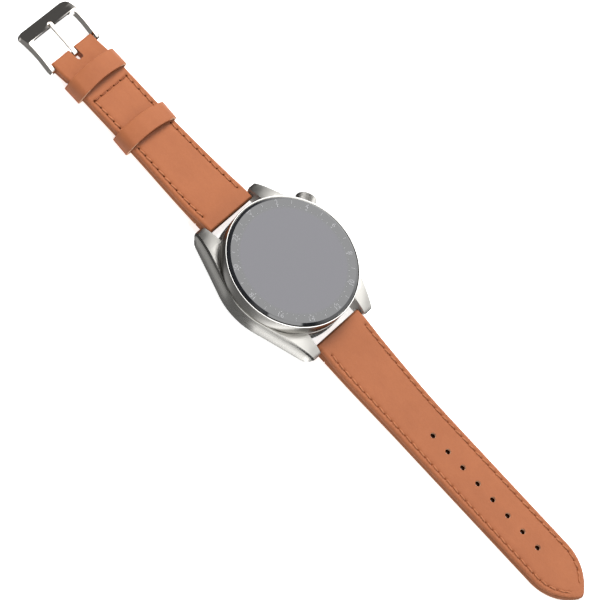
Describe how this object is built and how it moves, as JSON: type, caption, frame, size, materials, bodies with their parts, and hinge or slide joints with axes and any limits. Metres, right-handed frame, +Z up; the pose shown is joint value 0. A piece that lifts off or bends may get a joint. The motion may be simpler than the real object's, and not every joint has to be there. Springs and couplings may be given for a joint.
{
  "type": "smartwatch",
  "caption": "Round metal smartwatch with a printed hour scale, a turning crown, a side button and a stitched leather strap with keepers and a pin buckle, laid out flat.",
  "frame": {"origin": "centre of the sensor window's lower face, on the table the watch lies on", "axes": "+Z up through the glass, +Y along the strap towards the buckle (12 o'clock), +X across the case towards the crown side (3 o'clock)"},
  "size_m": [0.0505, 0.2588, 0.0135],
  "materials": {
    "case_metal": "brushed light alloy with polished chamfers",
    "bezel_metal": "circularly brushed wall with a polished edge",
    "crown_metal": "brushed, fluted sides",
    "cover_glass": "clear cover glass over black print",
    "display": "display panel switched off",
    "black_print": "black print with white scale marks",
    "flex_circuit": "polyimide ribbon",
    "ceramic": "smooth dark ceramic",
    "sensor_glass": "dark tinted window",
    "circuit_board": "solder mask",
    "copper": "enamelled copper winding",
    "ferrite": "pressed ferrite",
    "plastic": "moulded, fine texture",
    "battery_pouch": "laminated foil pouch",
    "rubber": "seal rubber",
    "spring_steel": "stainless steel",
    "buckle_metal": "polished",
    "leather": "smooth full-grain tan leather, fine grain, painted edge",
    "lining_leather": "smooth lining leather",
    "filler": "split leather filler"
  },
  "bodies": {
    "case": {"case_body": "case_metal", "bezel_ring": "bezel_metal", "cover_glass": "cover_glass", "display_adhesive": "black_print", "scale_film": "black_print", "display_panel": "display", "display_flex": "flex_circuit", "back_cover": "ceramic", "back_gasket": "rubber", "sensor_window": "sensor_glass", "sensor_board": "circuit_board", "charging_coil": "copper", "ferrite_sheet": "ferrite", "inner_frame": "plastic", "battery": "battery_pouch", "main_board": "circuit_board", "vibration_motor": "spring_steel", "speaker_module": "plastic", "board_screw_1": "spring_steel", "board_screw_2": "spring_steel", "board_screw_3": "spring_steel", "crown_tube": "spring_steel", "crown_switch": "spring_steel", "button_switch": "spring_steel"},
    "crown_plunger": {"crown_carrier": "plastic"},
    "crown": {"crown_cap": "crown_metal", "crown_stem": "spring_steel", "crown_seal": "rubber", "encoder_wheel": "plastic"},
    "side_button": {"side_button": "crown_metal", "button_seal": "rubber", "button_clip": "spring_steel"},
    "strap_short": {"short_strap_upper_leather": "leather", "short_strap_filler": "filler", "short_strap_lining": "lining_leather", "lug_bar_12": "spring_steel", "fixed_keeper": "leather", "buckle_bar": "spring_steel"},
    "strap_long": {"long_strap_upper_leather": "leather", "long_strap_filler": "filler", "long_strap_lining": "lining_leather", "lug_bar_6": "spring_steel"},
    "buckle": {"buckle_frame": "buckle_metal"},
    "tongue": {"buckle_tongue": "buckle_metal"},
    "free_keeper": {"free_keeper": "leather"},
    "release_pin_12": {"release_pin_12": "spring_steel"},
    "release_pin_6": {"release_pin_6": "spring_steel"}
  },
  "joints": [
    {"name": "crown_press", "type": "slide", "parent": "case", "child": "crown_plunger", "axis": [-0.8829, -0.4695, 0], "range_m": [0, 0.0005], "stiffness_N_per_m": 2000},
    {"name": "crown_spin", "type": "hinge", "parent": "crown_plunger", "child": "crown", "pos_m": [0.02207, 0.01174, 0.0062], "axis": [0.8829, 0.4695, 0], "continuous": true},
    {"name": "side_button_press", "type": "slide", "parent": "case", "child": "side_button", "axis": [-0.8572, 0.515, 0], "range_m": [0, 0.0003], "stiffness_N_per_m": 3000},
    {"name": "strap_short_hinge", "type": "hinge", "parent": "case", "child": "strap_short", "pos_m": [0, 0.0264, 0.0034], "axis": [1, 0, 0], "range_deg": [-90, 75]},
    {"name": "strap_long_hinge", "type": "hinge", "parent": "case", "child": "strap_long", "pos_m": [0, -0.0264, 0.0034], "axis": [-1, 0, 0], "range_deg": [-90, 75]},
    {"name": "buckle_hinge", "type": "hinge", "parent": "strap_short", "child": "buckle", "pos_m": [0, 0.0994, 0.0016], "axis": [1, 0, 0], "range_deg": [-80, 42]},
    {"name": "tongue_hinge", "type": "hinge", "parent": "buckle", "child": "tongue", "pos_m": [0, 0.0994, 0.0016], "axis": [1, 0, 0], "range_deg": [0, 75]},
    {"name": "free_keeper_slide", "type": "slide", "parent": "strap_short", "child": "free_keeper", "axis": [0, 1, 0], "range_m": [-0.003, 0.0155]},
    {"name": "release_pin_12_slide", "type": "slide", "parent": "strap_short", "child": "release_pin_12", "axis": [1, 0, 0], "range_m": [0, 0.0012], "stiffness_N_per_m": 800},
    {"name": "release_pin_6_slide", "type": "slide", "parent": "strap_long", "child": "release_pin_6", "axis": [-1, 0, 0], "range_m": [0, 0.0012], "stiffness_N_per_m": 800}
  ]
}
